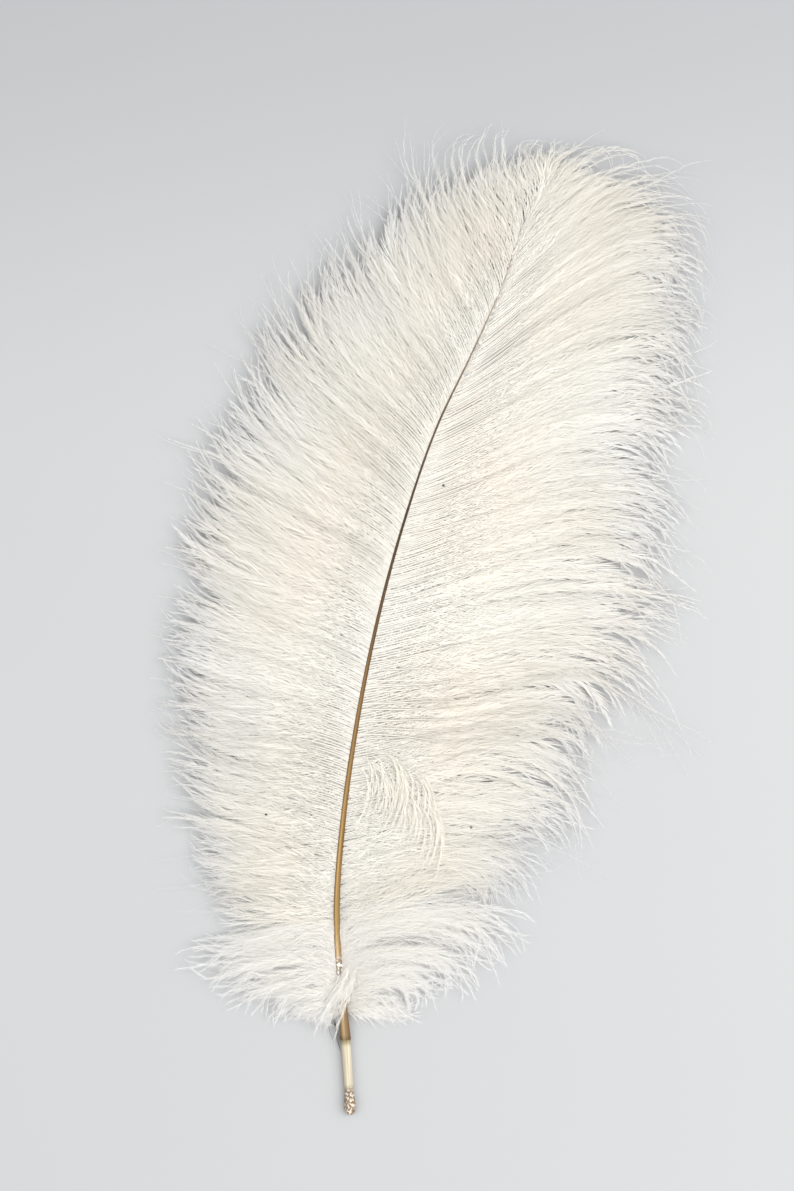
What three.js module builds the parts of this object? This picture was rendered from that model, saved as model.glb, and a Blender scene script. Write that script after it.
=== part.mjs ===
// An ostrich plume lying on a flat surface: one long curved shaft, a wide soft vane on each side of
// it, and a tuft of loose down on each side of its foot. Each vane and tuft is one closed solid that
// is flat below, thick beside the shaft and thin at the tips of its barbs.
// Millimetres. +Z is up, +Y runs towards the tip, and the origin is on the surface, under the middle.
import * as THREE from "three";

// Centreline of the shaft, from the cut end of the quill to the tip, with its height above the surface.
const SHAFT_ROUTE = [
  [-41.2, -240.7, 2.9],
  [-43.6, -204, 3.2],
  [-46.2, -175, 4.6],
  [-48, -140, 7],
  [-45, -96, 10],
  [-38.5, -49, 12.2],
  [-28, 4, 13.2],
  [-14, 56, 13.4],
  [2, 102, 12.8],
  [20, 140, 11.4],
  [35, 174, 9.6],
  [45, 203, 7.6],
  [57, 224, 5.4],
];

// Half width of the shaft at distances from the cut end: scabby end, bare quill, ring and sheath,
// crushed band, then the rachis, which tapers to the tip.
const SHAFT_PROFILE = [
  [0, 1.9],
  [1.2, 2.6],
  [7, 2.7],
  [10, 2.2],
  [36, 2.3],
  [37, 2.7],
  [41, 2.6],
  [58, 2.2],
  [64, 1.6],
  [78, 1.6],
  [84, 1.8],
  [150, 1.5],
  [230, 1.1],
  [320, 0.6],
  [400, 0.35],
  [480, 0.2],
];
const SHAFT_SIDES = 12;
const SHAFT_STEP = 5.5; // greatest distance between two sections of the shaft
const SHAFT_HEIGHT_RATIO = 1.05; // height of the oval section against its width

// Each row is a barb: the share of the shaft's length where it leaves, and the x and y of its tip.
const LEFT_VANE_BARBS = [
  [0.192, -106, -145],
  [0.275, -119, -108],
  [0.37, -127, -67],
  [0.46, -130.4, -24],
  [0.55, -130.4, 16],
  [0.64, -122.5, 59],
  [0.73, -109, 101],
  [0.81, -86, 143],
  [0.88, -54, 182],
  [0.94, -18, 212],
  [0.975, 17, 231],
  [1, 55, 240.6],
];
const RIGHT_VANE_BARBS = [
  [0.192, 38, -136],
  [0.275, 60, -106],
  [0.37, 82, -67],
  [0.46, 106, -24],
  [0.55, 119, 18],
  [0.64, 126, 60],
  [0.73, 128, 101],
  [0.81, 130, 138],
  [0.88, 130.4, 168],
  [0.94, 127, 198],
  [0.975, 108, 223],
  [1, 56, 240.6],
];
const LEFT_DOWN_BARBS = [
  [0.105, -55, -194],
  [0.13, -86, -186],
  [0.16, -112, -166],
  [0.19, -111, -148],
];
const RIGHT_DOWN_BARBS = [
  [0.105, -28, -194],
  [0.13, -2, -180],
  [0.16, 20, -161],
  [0.19, 36, -139],
];

const VANE_ROWS = 44; // barb rows along a vane, which give its edge a tuft for every two rows
const DOWN_ROWS = 14;
const STEPS_ALONG_BARB = 10;
const EDGE_THICKNESS = 1.5;
const HEIGHT_FALL = 2.4; // power by which the height falls from the shaft to the tips
const TUFT_DEPTH = 0.035; // how much shorter every second row is, as a share of its length
const BARB_LEAD = 0.16; // how far a barb bows towards the feather's tip, as a share of its length
const BOW_PLACE = 0.4; // share of a barb's length where it bows most
const GAP = 0.3; // clearance between neighbouring solids

const UP = new THREE.Vector3(0, 0, 1);
const shaftCurve = new THREE.CatmullRomCurve3(
  SHAFT_ROUTE.map((point) => new THREE.Vector3(...point)),
);
const shaftLength = shaftCurve.getLength();

// Value of a table of [key, value] rows at a key, on straight lines between the rows.
function valueAt(table, key) {
  const after = table.findIndex((row) => row[0] >= key);
  if (after < 1) {
    return after === 0 ? table[0][1] : table[table.length - 1][1];
  }
  const low = table[after - 1];
  const high = table[after];
  return THREE.MathUtils.mapLinear(key, low[0], high[0], low[1], high[1]);
}

// Centre, direction along the shaft and direction across it, at a share of the shaft's length.
function shaftFrame(share) {
  const centre = shaftCurve.getPointAt(share);
  const along = shaftCurve.getTangentAt(share);
  const across = along.clone().cross(UP).normalize();
  return { centre, along, across };
}

// Closed body through rings that have the same even number of points, with a flat strip over each end.
// Seen along the way from the first ring to the last, the points of a ring run anticlockwise.
function loft(rings) {
  const sides = rings[0].length;
  const index = [];
  const addQuad = (a, b, c, d) => index.push(a, b, c, a, c, d);
  for (let ring = 0; ring < rings.length - 1; ring += 1) {
    for (let side = 0; side < sides; side += 1) {
      const start = ring * sides + side;
      const next = ring * sides + ((side + 1) % sides);
      addQuad(start, start + sides, next + sides, next);
    }
  }
  const lastRing = (rings.length - 1) * sides;
  for (let side = 0; side < sides / 2 - 1; side += 1) {
    const opposite = sides - 1 - side;
    addQuad(side, side + 1, opposite - 1, opposite);
    addQuad(lastRing + side, lastRing + opposite, lastRing + opposite - 1, lastRing + side + 1);
  }
  const geometry = new THREE.BufferGeometry().setFromPoints(rings.flat());
  geometry.setIndex(index);
  geometry.computeVertexNormals();
  return geometry;
}

function makeMesh(name, geometry, color, roughness) {
  const material = new THREE.MeshStandardMaterial({ color, roughness, metalness: 0 });
  const mesh = new THREE.Mesh(geometry, material);
  mesh.name = name;
  return mesh;
}

// The shaft's sections stand at every turn of its profile and at even steps between them.
function shaftStations() {
  const stations = [0];
  const turns = SHAFT_PROFILE.map((row) => row[0]).filter((distance) => distance > 0);
  turns[turns.length - 1] = shaftLength;
  for (const turn of turns) {
    const from = stations[stations.length - 1];
    const steps = Math.ceil((turn - from) / SHAFT_STEP);
    for (let step = 1; step <= steps; step += 1) {
      stations.push(from + ((turn - from) * step) / steps);
    }
  }
  return stations;
}

function makeShaft() {
  const rings = shaftStations().map((distance) => {
    const { centre, along, across } = shaftFrame(distance / shaftLength);
    const upward = across.clone().cross(along);
    const halfWidth = valueAt(SHAFT_PROFILE, distance);
    return Array.from({ length: SHAFT_SIDES }, (_, side) => {
      const angle = (2 * Math.PI * side) / SHAFT_SIDES;
      return centre
        .clone()
        .addScaledVector(across, halfWidth * Math.cos(angle))
        .addScaledVector(upward, halfWidth * SHAFT_HEIGHT_RATIO * Math.sin(angle));
    });
  });
  return loft(rings);
}

// A vane or a tuft on one side of the shaft: side is -1 on the left and 1 on the right.
function makeBarbBody(barbs, side, rows) {
  const tipCurve = new THREE.CatmullRomCurve3(barbs.map(([, x, y]) => new THREE.Vector3(x, y, 0)));
  const rootShares = barbs.map(([share], place) => [place / (barbs.length - 1), share]);
  const rings = [];
  for (let row = 0; row <= rows; row += 1) {
    const share = valueAt(rootShares, row / rows);
    const { centre, along, across } = shaftFrame(share);
    const rootHeight = centre.z;
    const clear = valueAt(SHAFT_PROFILE, share * shaftLength) + GAP;
    const root = centre.clone().addScaledVector(across, side * clear).setZ(0);
    const tip = tipCurve.getPoint(row / rows);
    tip.x += side * GAP;
    if (row % 2 === 1) {
      tip.lerp(root, TUFT_DEPTH);
    }
    const bow = root.clone().lerp(tip, BOW_PLACE);
    bow.addScaledVector(along, BARB_LEAD * root.distanceTo(tip)).setZ(0);
    const barb = new THREE.QuadraticBezierCurve3(root, bow, tip);
    const below = [];
    const above = [];
    for (let step = 0; step <= STEPS_ALONG_BARB; step += 1) {
      const outward = step / STEPS_ALONG_BARB;
      const fall = (1 - outward) ** HEIGHT_FALL;
      const foot = barb.getPoint(outward);
      below.push(foot);
      above.unshift(foot.clone().setZ(THREE.MathUtils.lerp(EDGE_THICKNESS, rootHeight, fall)));
    }
    const ring = [...below, ...above];
    rings.push(side > 0 ? ring : ring.reverse());
  }
  return loft(rings);
}

const feather = new THREE.Group();
feather.add(makeMesh("shaft", makeShaft(), 0xa07c49, 0.4));
feather.add(makeMesh("vane_left", makeBarbBody(LEFT_VANE_BARBS, -1, VANE_ROWS), 0xefe9db, 0.85));
feather.add(makeMesh("vane_right", makeBarbBody(RIGHT_VANE_BARBS, 1, VANE_ROWS), 0xf3eee2, 0.85));
feather.add(makeMesh("down_left", makeBarbBody(LEFT_DOWN_BARBS, -1, DOWN_ROWS), 0xe9e5da, 0.95));
feather.add(makeMesh("down_right", makeBarbBody(RIGHT_DOWN_BARBS, 1, DOWN_ROWS), 0xeeebe3, 0.95));

export default feather;
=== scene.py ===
import math
import bmesh
import bpy
import numpy as np
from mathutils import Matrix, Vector, noise


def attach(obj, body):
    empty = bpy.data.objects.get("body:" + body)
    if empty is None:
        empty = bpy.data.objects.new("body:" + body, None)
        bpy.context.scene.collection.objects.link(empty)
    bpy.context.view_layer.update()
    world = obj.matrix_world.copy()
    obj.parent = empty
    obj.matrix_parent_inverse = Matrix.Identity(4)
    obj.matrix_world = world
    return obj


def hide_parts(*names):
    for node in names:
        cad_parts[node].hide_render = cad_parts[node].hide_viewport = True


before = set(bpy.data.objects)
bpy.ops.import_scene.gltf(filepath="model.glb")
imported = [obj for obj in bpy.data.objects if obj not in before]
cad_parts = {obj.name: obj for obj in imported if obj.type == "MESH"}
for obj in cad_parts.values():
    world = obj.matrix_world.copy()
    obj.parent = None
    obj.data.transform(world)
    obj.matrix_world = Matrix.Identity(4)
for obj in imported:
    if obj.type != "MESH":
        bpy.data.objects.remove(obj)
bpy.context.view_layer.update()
mm = 0.001   # the tables below are in millimetres, and Blender's units are metres
print("frame loaded:", ", ".join(sorted(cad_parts)))

# The whole feather, seen from above, in millimetres: +y runs to the tip, +z is up.
featherLayout = {
    "shaftRoute": [  # centreline from the cut end of the quill to the tip
        (-41.2, -240.7, 2.9), (-43.6, -204, 3.2), (-46.2, -175, 4.6), (-48, -140, 7), (-45, -96, 10),
        (-38.5, -49, 12.2), (-28, 4, 13.2), (-14, 56, 13.4), (2, 102, 12.8), (20, 140, 11.4),
        (35, 174, 9.6), (45, 203, 7.6), (57, 224, 5.4)],
    "shaftHalfWidth": [  # distance from the cut end, half width
        (0, 1.9), (1.2, 2.6), (7, 2.7), (10, 2.2), (36, 2.3), (37, 2.7), (41, 2.6), (58, 2.2), (64, 1.6),
        (78, 1.6), (84, 1.8), (150, 1.5), (230, 1.1), (320, 0.6), (400, 0.35), (480, 0.2)],
    "vaneLeft": [  # share of the shaft where a barb leaves, and where its tip lies
        (0.192, -106, -145), (0.245, -119, -108), (0.315, -127, -67), (0.39, -130.4, -24),
        (0.455, -130.4, 16), (0.52, -122.5, 59), (0.58, -109, 101), (0.645, -86, 143),
        (0.715, -54, 182), (0.79, -18, 212), (0.875, 17, 231), (1, 55, 240.6)],
    "vaneRight": [
        (0.192, 38, -136), (0.265, 60, -106), (0.35, 82, -67), (0.432, 106, -24),
        (0.51, 119, 18), (0.583, 126, 60), (0.65, 128, 101), (0.712, 130, 138),
        (0.77, 130.4, 168), (0.83, 127, 198), (0.9, 108, 223), (1, 56, 240.6)],
    "downLeft": [(0.105, -55, -194), (0.13, -86, -186), (0.16, -112, -166), (0.19, -111, -148)],
    "downRight": [(0.105, -28, -194), (0.13, -2, -180), (0.16, 20, -161), (0.19, 36, -139)],
}


def smoothThrough(knots, values, at):
    # a curve through the values, one at each knot, read at the places in at
    knots, values, at = np.array(knots, float), np.array(values, float), np.array(at, float)
    slope = np.gradient(values, knots, axis=0)
    low = np.clip(np.searchsorted(knots, at, "right") - 1, 0, len(knots) - 2)
    gap = (knots[low + 1] - knots[low])[:, None]
    t = (at - knots[low])[:, None] / gap
    return ((1 + 2 * t) * (1 - t) ** 2 * values[low] + t * (1 - t) ** 2 * gap * slope[low]
            + t * t * (3 - 2 * t) * values[low + 1] + t * t * (t - 1) * gap * slope[low + 1])


routePoints = np.array(featherLayout["shaftRoute"]) * mm
routeChord = np.r_[0, np.cumsum(np.linalg.norm(np.diff(routePoints, axis=0), axis=1))]
shaftLength = routeChord[-1]


def shaftAt(share):
    # centre, direction along and direction across the shaft at shares of its length
    share = np.atleast_1d(share)
    step = 0.002   # how far ahead and behind the direction is read, share of the length
    centre = smoothThrough(routeChord, routePoints, share * shaftLength)
    ahead = smoothThrough(routeChord, routePoints, (share + step) * shaftLength)
    behind = smoothThrough(routeChord, routePoints, (share - step) * shaftLength)
    along = ahead - behind
    along /= np.linalg.norm(along, axis=1)[:, None]
    across = np.cross(along, (0, 0, 1))
    across /= np.linalg.norm(across, axis=1)[:, None]
    return centre, along, across


def tableAt(table, places):
    # a table of (place, value) rows read at the places, on straight lines between the rows
    rows = np.array(table, float)
    return np.interp(places, rows[:, 0], rows[:, 1])


def shaftHalfWidth(share):
    return tableAt(featherLayout["shaftHalfWidth"], np.asarray(share) * shaftLength / mm) * mm


def addObject(name, data):
    made = bpy.data.objects.new(name, data)
    bpy.context.scene.collection.objects.link(made)
    return made


def keepPiece(piece, node):
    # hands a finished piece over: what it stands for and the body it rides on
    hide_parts(node)
    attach(piece, "root")


# Small helpers for node trees: a socket given as a value is linked, anything else is typed in.
def fillSocket(tree, socket, value):
    if isinstance(value, bpy.types.NodeSocket):
        tree.links.new(value, socket)
    else:
        socket.default_value = value


def addNode(tree, kind, inputs=None, **settings):
    made = tree.nodes.new(kind)
    for name, value in settings.items():
        setattr(made, name, value)
    for key, value in (inputs or {}).items():
        fillSocket(tree, made.inputs[key], value)
    return made


def mathNode(tree, operation, *values):
    made = addNode(tree, "ShaderNodeMath", dict(enumerate(values)), operation=operation)
    return made.outputs[0]


def vectorNode(tree, operation, *values, scale=None):
    made = addNode(tree, "ShaderNodeVectorMath", dict(enumerate(values)), operation=operation)
    if scale is not None:
        fillSocket(tree, made.inputs["Scale"], scale)
    return made.outputs[0]


def combineNode(tree, x, y, z):
    return addNode(tree, "ShaderNodeCombineXYZ", {0: x, 1: y, 2: z}).outputs[0]


def newGroup(name, kind, inputs, outputs):
    # an empty node group with named sockets, and what its own ends offer
    tree = bpy.data.node_groups.new(name, kind)
    for socketName, socketKind, value in inputs:
        socket = tree.interface.new_socket(socketName, in_out="INPUT", socket_type=socketKind)
        if value is not None:
            socket.default_value = value
    for socketName, socketKind in outputs:
        tree.interface.new_socket(socketName, in_out="OUTPUT", socket_type=socketKind)
    return tree, tree.nodes.new("NodeGroupInput").outputs, tree.nodes.new("NodeGroupOutput").inputs


def spreadNoise(tree, grain):
    # noise seldom leaves the middle of its range, so that middle is drawn out to 0 and 1
    return addNode(tree, "ShaderNodeMapRange", {0: grain, 1: 0.3, 2: 0.7}).outputs[0]


def buildStreakGroup():
    # fine streaks that run along a piece's own map, in its second direction
    tree, given, end = newGroup(
        "fineStreaks", "ShaderNodeTree",
        [("Map", "NodeSocketVector", None), ("Across", "NodeSocketFloat", 300.0),
         ("Along", "NodeSocketFloat", 4.0)],
        [("Streak", "NodeSocketFloat"), ("Place", "NodeSocketFloat")])
    spot = addNode(tree, "ShaderNodeSeparateXYZ", {0: given["Map"]}).outputs
    stretched = combineNode(tree, mathNode(tree, "MULTIPLY", spot[0], given["Across"]),
                            mathNode(tree, "MULTIPLY", spot[1], given["Along"]), 0)
    grain = addNode(tree, "ShaderNodeTexNoise", {"Vector": stretched, "Scale": 1.0, "Detail": 2.0})
    tree.links.new(spreadNoise(tree, grain.outputs[0]), end["Streak"])
    tree.links.new(spot[1], end["Place"])
    return tree


def buildPatchGroup():
    # soft patches in space, of about the size that is asked for
    tree, given, end = newGroup(
        "softPatches", "ShaderNodeTree",
        [("Size", "NodeSocketFloat", 0.05), ("Detail", "NodeSocketFloat", 1.0)],
        [("Patch", "NodeSocketFloat")])
    place = addNode(tree, "ShaderNodeTexCoord").outputs["Object"]
    scale = mathNode(tree, "DIVIDE", 1.0, given["Size"])
    cloud = addNode(tree, "ShaderNodeTexNoise", {"Vector": place, "Scale": scale, "Detail": given["Detail"]})
    tree.links.new(spreadNoise(tree, cloud.outputs[0]), end["Patch"])
    return tree


streakGroup = buildStreakGroup()
patchGroup = buildPatchGroup()


def streaksOf(tree, across, along):
    # the streak mask on the strand map, and the place along the map's second direction
    strand = addNode(tree, "ShaderNodeUVMap", uv_map="strand").outputs[0]
    made = addNode(tree, "ShaderNodeGroup", node_tree=streakGroup)
    for name, value in (("Map", strand), ("Across", across), ("Along", along)):
        fillSocket(tree, made.inputs[name], value)
    return made.outputs["Streak"], made.outputs["Place"]


def patchesOf(tree, size, detail):
    made = addNode(tree, "ShaderNodeGroup", node_tree=patchGroup)
    made.inputs["Size"].default_value = size
    made.inputs["Detail"].default_value = detail
    return made.outputs["Patch"]


def rampNode(tree, factor, stops):
    made = addNode(tree, "ShaderNodeValToRGB", {0: factor})
    ramp = made.color_ramp
    while len(ramp.elements) < len(stops):
        ramp.elements.new(1.0)
    for element, (place, colour) in zip(ramp.elements, stops):
        element.position = place
        element.color = (*colour, 1)
    return made.outputs[0]


def maskNode(tree, factor, low, high, fade):
    # 1 between low and high, 0 outside, with soft ends
    up = addNode(tree, "ShaderNodeMapRange", {0: factor, 1: low - fade, 2: low + fade}).outputs[0]
    down = addNode(tree, "ShaderNodeMapRange", {
        0: factor, 1: high - fade, 2: high + fade, 3: 1.0, 4: 0.0}).outputs[0]
    return mathNode(tree, "MULTIPLY", up, down)


def mixColours(tree, kind, factor, first, second):
    made = addNode(tree, "ShaderNodeMix", data_type="RGBA", blend_type=kind)
    for place, value in ((0, factor), (6, first), (7, second)):
        fillSocket(tree, made.inputs[place], value)
    return made.outputs[2]


def newMaterial(name):
    material = bpy.data.materials.new(name)
    material.use_nodes = True
    material.node_tree.nodes.clear()
    return material, material.node_tree


print("helpers and shader groups ready")

# The shaft: a cut scabby end, bare quill, a sheath with a hard rim, a crushed band, then the rachis.
shaftLook = {
    "sides": 28,
    "fineStep": 0.7,      # distance between sections up to fineEnds, then coarseStep, mm
    "fineEnds": 96,
    "coarseStep": 2.4,
    "flatness": [         # height of the section against its width, by distance from the cut end
        (0, 0.95), (36, 0.98), (58, 0.95), (64, 0.62), (74, 0.66), (84, 0.95), (200, 1.05), (480, 0.9)],
    "scab": (13, 0.55, 900),       # how far the scab reaches in mm, how rough it is in mm, how fine
    "dents": (58, 84, 0.22, 420),  # where the crushed band lies in mm, how deep in mm, how fine
    "groove": (0.10, 0.035),  # depth of the furrow along the top, share of the half width, and its spread
    "dome": 0.35,         # how far the ends bulge, share of the half width
}
hornLook = {
    "quill": [  # share of the shaft's length, colour
        (0.0, (0.27, 0.21, 0.15)), (0.024, (0.30, 0.25, 0.18)), (0.031, (0.56, 0.52, 0.41)),
        (0.070, (0.60, 0.55, 0.43)), (0.0745, (0.34, 0.30, 0.19)), (0.0765, (0.10, 0.07, 0.035)),
        (0.080, (0.34, 0.25, 0.14)), (0.100, (0.40, 0.30, 0.17)), (0.122, (0.48, 0.40, 0.29)),
        (0.136, (0.42, 0.37, 0.30)), (0.158, (0.44, 0.37, 0.28)), (0.166, (0.56, 0.44, 0.29))],
    "rachis": [
        (0.166, (0.56, 0.43, 0.26)), (0.188, (0.43, 0.30, 0.12)), (0.25, (0.40, 0.265, 0.10)),
        (0.34, (0.33, 0.21, 0.078)), (0.42, (0.26, 0.16, 0.058)), (0.52, (0.13, 0.078, 0.032)),
        (0.62, (0.07, 0.046, 0.024)), (0.73, (0.14, 0.10, 0.062)), (0.81, (0.28, 0.225, 0.16)),
        (0.89, (0.60, 0.55, 0.47)), (1.0, (0.76, 0.72, 0.64))],
    "quillEnd": 0.166,    # the share of the length where the rachis colours take over
    "paintedHighlightStripe": (0.53, 0.02, 0.11),    # middle of the painted highlight stripe round the shaft, and where its sides fade into painted shade
    "paintedSideShade": (0.8, (0.42, 0.32, 0.20, 1)),    # how strong the painted shade on the sides is, and its colour
    "browns": 0.077,      # the share of the length where the bare quill ends and the painted stripe and side shade start
    "grain": (16.0, 12.0),           # streaks round the shaft and along it
    "grainTone": (0.7, (0.55, 0.45, 0.33, 1)),
    "speckSize": 0.0011,
    "scab": (-0.1, 0.027, 0.003),    # where the scab lies, share of the length, and how softly it ends
    "specks": (0.36, (0.19, 0.14, 0.095, 1)),    # patches below the first are specks, of this colour
    "flakes": (0.62, (0.62, 0.54, 0.45, 1)),     # and patches above it are flakes
    "crushed": (0.128, 0.16, 0.006),
    # painted highlights on the crushed band, as white glints: how often they show, and their colour
    "paintedGlints": (0.6, (0.86, 0.84, 0.80, 1)),
    "cracks": (0.3, (0.14, 0.11, 0.09, 1)),
    "roughness": (0.42, 0.45, 0.2),  # of smooth horn, what the scab adds and the crushed band takes off
    "relief": (0.3, 0.0004, 0.5),    # share of the grain in the relief, its depth in metres, its strength
}


def buildShaft():
    look = shaftLook
    length = shaftLength / mm
    along = np.r_[np.arange(0, look["fineEnds"], look["fineStep"]),
                  np.arange(look["fineEnds"], length - 1, look["coarseStep"]), length]
    share = along / length
    centre, forward, across = shaftAt(share)
    upward = np.cross(across, forward)
    half = shaftHalfWidth(share)
    flat = tableAt(look["flatness"], along)
    u = np.linspace(0, 1, look["sides"] + 1)     # the first and last column lie under the shaft
    angle = 2 * np.pi * u - np.pi / 2
    deepest, spread = look["groove"]
    furrow = 1 - deepest * np.exp(-((u - 0.5) / spread) ** 2)
    reach, rough, fine = look["scab"]
    start, stop, deep, often = look["dents"]
    verts = []
    for row in range(len(along)):
        ring = (centre[row] + np.outer(np.cos(angle) * furrow, across[row]) * half[row]
                + np.outer(np.sin(angle) * furrow, upward[row]) * half[row] * flat[row])
        scab = rough * max(0, 1 - along[row] / reach) ** 0.6
        dent = deep * math.sin(math.pi * min(1, max(0, (along[row] - start) / (stop - start))))
        for spot in ring:
            out = Vector(spot - centre[row]).normalized()
            bump = scab * noise.fractal(Vector(spot) * fine, 0.6, 2.0, 3)
            bump += dent * noise.noise(Vector(spot) * often)
            verts.append(Vector(spot) + out * bump * mm)
        verts[-1] = verts[-1 - look["sides"]].copy()
    columns = look["sides"] + 1
    faces, places = [], []
    for row in range(len(along) - 1):
        for side in range(look["sides"]):
            near = row * columns + side
            faces.append((near, near + 1, near + columns + 1, near + columns))
            places.append([(u[side], share[row]), (u[side + 1], share[row]),
                           (u[side + 1], share[row + 1]), (u[side], share[row + 1])])
    for row, step in ((0, -1), (len(along) - 1, 1)):    # domed ends
        hub = len(verts)
        verts.append(Vector(centre[row]) + Vector(forward[row]) * step * half[row] * look["dome"])
        for side in range(look["sides"]):
            near = row * columns + side
            rim = (near, near + 1) if step > 0 else (near + 1, near)
            faces.append((*rim, hub))
            edge = (u[side], u[side + 1]) if step > 0 else (u[side + 1], u[side])
            middle = u[side] + 0.5 / look["sides"]
            places.append([(edge[0], share[row]), (edge[1], share[row]), (middle, share[row])])
    mesh = bpy.data.meshes.new("shaftHorn")
    mesh.from_pydata(verts, [], faces)
    flatPlaces = np.array([pair for face in places for pair in face], np.float32)
    for mapName in ("strand", "OFBake"):
        layer = mesh.uv_layers.new(name=mapName)
        layer.data.foreach_set("uv", flatPlaces.ravel())
    mesh.polygons.foreach_set("use_smooth", [True] * len(mesh.polygons))
    return addObject("shaftHorn", mesh)


def hornFinish(look):
    material, tree = newMaterial("featherHorn")
    grain, place = streaksOf(tree, *look["grain"])
    strand = addNode(tree, "ShaderNodeUVMap", uv_map="strand").outputs[0]
    around = addNode(tree, "ShaderNodeSeparateXYZ", {0: strand}).outputs[0]
    quill = rampNode(tree, place, look["quill"])
    rachis = rampNode(tree, place, look["rachis"])
    above = mathNode(tree, "GREATER_THAN", place, look["quillEnd"])
    colour = mixColours(tree, "MIX", above, quill, rachis)
    # painted highlight and shade: a light stripe along the top of the rachis, a little to the right, between
    # sides darkened with painted shade
    middle, near, far = look["paintedHighlightStripe"]
    strength, sideShadeColour = look["paintedSideShade"]
    fromTop = mathNode(tree, "ABSOLUTE", mathNode(tree, "SUBTRACT", around, middle))
    side = addNode(tree, "ShaderNodeMapRange", {0: fromTop, 1: near, 2: far, 3: 0.0, 4: strength}).outputs[0]
    side = mathNode(tree, "MULTIPLY", side, mathNode(tree, "GREATER_THAN", place, look["browns"]))
    colour = mixColours(tree, "MULTIPLY", side, colour, sideShadeColour)
    strength, grainColour = look["grainTone"]
    dark = mathNode(tree, "MULTIPLY", mathNode(tree, "SUBTRACT", 1.0, grain), strength)
    colour = mixColours(tree, "MULTIPLY", dark, colour, grainColour)
    # dark specks and pale flakes on the scabby end, painted highlights as white glints, and dark cracks in
    # the crushed horn
    scab = maskNode(tree, place, *look["scab"])
    crushed = maskNode(tree, place, *look["crushed"])
    patches = patchesOf(tree, look["speckSize"], 3.0)
    for key, band, test in (("specks", scab, "LESS_THAN"), ("flakes", scab, "GREATER_THAN"),
                            ("paintedGlints", crushed, "GREATER_THAN"), ("cracks", crushed, "LESS_THAN")):
        limit, markColour = look[key]
        mark = mathNode(tree, "MULTIPLY", band, mathNode(tree, test, patches, limit))
        colour = mixColours(tree, "MIX", mark, colour, markColour)
    smooth, scabAdds, crushedTakes = look["roughness"]
    rough = mathNode(tree, "MULTIPLY_ADD", scab, scabAdds, smooth)
    rough = mathNode(tree, "SUBTRACT", rough, mathNode(tree, "MULTIPLY", crushed, crushedTakes))
    grainShare, depth, strength = look["relief"]
    height = mathNode(tree, "ADD", mathNode(tree, "MULTIPLY", grain, grainShare),
                      mathNode(tree, "MULTIPLY", patches, scab))
    bump = addNode(tree, "ShaderNodeBump", {"Height": height, "Distance": depth, "Strength": strength})
    body = addNode(tree, "ShaderNodeBsdfPrincipled", {
        "Base Color": colour, "Roughness": rough, "Normal": bump.outputs[0], "Subsurface Weight": 0.12,
        "Subsurface Radius": (0.002, 0.0012, 0.0006), "Specular IOR Level": 0.14, "Coat Weight": 0.02,
        "Coat Roughness": 0.2})
    addNode(tree, "ShaderNodeOutputMaterial", {0: body.outputs[0]})
    return material


shaftPiece = buildShaft()
shaftPiece.data.materials.append(hornFinish(hornLook))
keepPiece(shaftPiece, "shaft")
print("shaft built,", len(shaftPiece.data.polygons), "faces")

# Barbs: guide lines are laid out here, and a node tree grows threads and barbules on them.
barbLook = {
    "points": 20,          # points along a barb's guide line
    "leaveAngle": [        # degrees from the shaft, by place
        (0, 74), (0.3, 70), (0.5, 62), (0.66, 50), (0.82, 34), (1, 14)],
    "rootIn": 0.7,         # how far out in the shaft a barb starts, share of its half width
    "leaveShare": 0.2,     # how long a barb keeps the direction that it leaves in
    "arriveShare": 0.34,   # and the direction that it ends in
    "ridge": (0.13, 1.15, 1),  # height and width of a thread's section against its half width
    "sideLimit": (124, 19),  # past the first the sides are drawn in, by no more than the second, mm
    "flowSpread": 0.06,    # how far apart the broad waves of the vane are, share of its length
    "waves": {             # size, how late it sets in along a barb, and how many to a barb's length
        "lock": (0.35, 2, 2.3), "barb": (0.22, 1.5, 3.6)},
    "flow": (0.6, 1.3, 0.9),   # the broadest wave: how much its size varies, then as for the others
    "uneven": 0.6,         # how much of a barb's length is its own, against its clump's and its lock's
    "straying": (0.25, 0.3),   # how much of a barb's turn is its clump's and its own, against the flow
    "curling": (0.6, 0.6, 0.4, 5),   # its clump's, its lock's and its own curl, and how late it sets in
    "lockHold": (0.5, 1.1, 2.4),     # least and greatest pull to its lock, and how late it sets in
    "clumpHold": (0.2, 1.1, 3),
    "archPeak": 0.8,       # below 1 the arch is highest nearer to the shaft
    "layerStart": (2.5, 1.5),  # how soon barbs of a layer part in height, and how gently
    "lowest": 0.5,         # least height of a guide line above the surface, mm
    "looseRoll": 60,       # how far loose barbules roll out of the vane's surface, degrees
}
barbuleLook = {   # where a barbule's rows of points are and their widths, before its tip at 1
    "steps": (0, 0.45), "widths": (0.8, 1),
    "ripple": (0.02, 5),   # how deep, and radians along its length
}


def centresAlong(spread, rng):
    # uneven places from 0 to 1, about spread apart
    places = np.arange(0, 1 + spread, spread)
    most = 0.42   # how far a place moves, share of the spread
    return np.sort(np.clip(places + rng.uniform(-most, most, len(places)) * spread, 0, 1))


def nearestOf(centres, places):
    # the number of the centre that is nearest to each place
    right = np.clip(np.searchsorted(centres, places), 1, len(centres) - 1)
    left = right - 1
    return np.where(places - centres[left] < centres[right] - places, left, right)


def flowAlong(places, spread, rng):
    # numbers from about -1 to 1 that change smoothly along the feather
    knots = np.arange(-spread, 1 + 2 * spread, spread)
    return smoothThrough(knots, rng.uniform(-1, 1, (len(knots), 1)), places)


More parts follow.
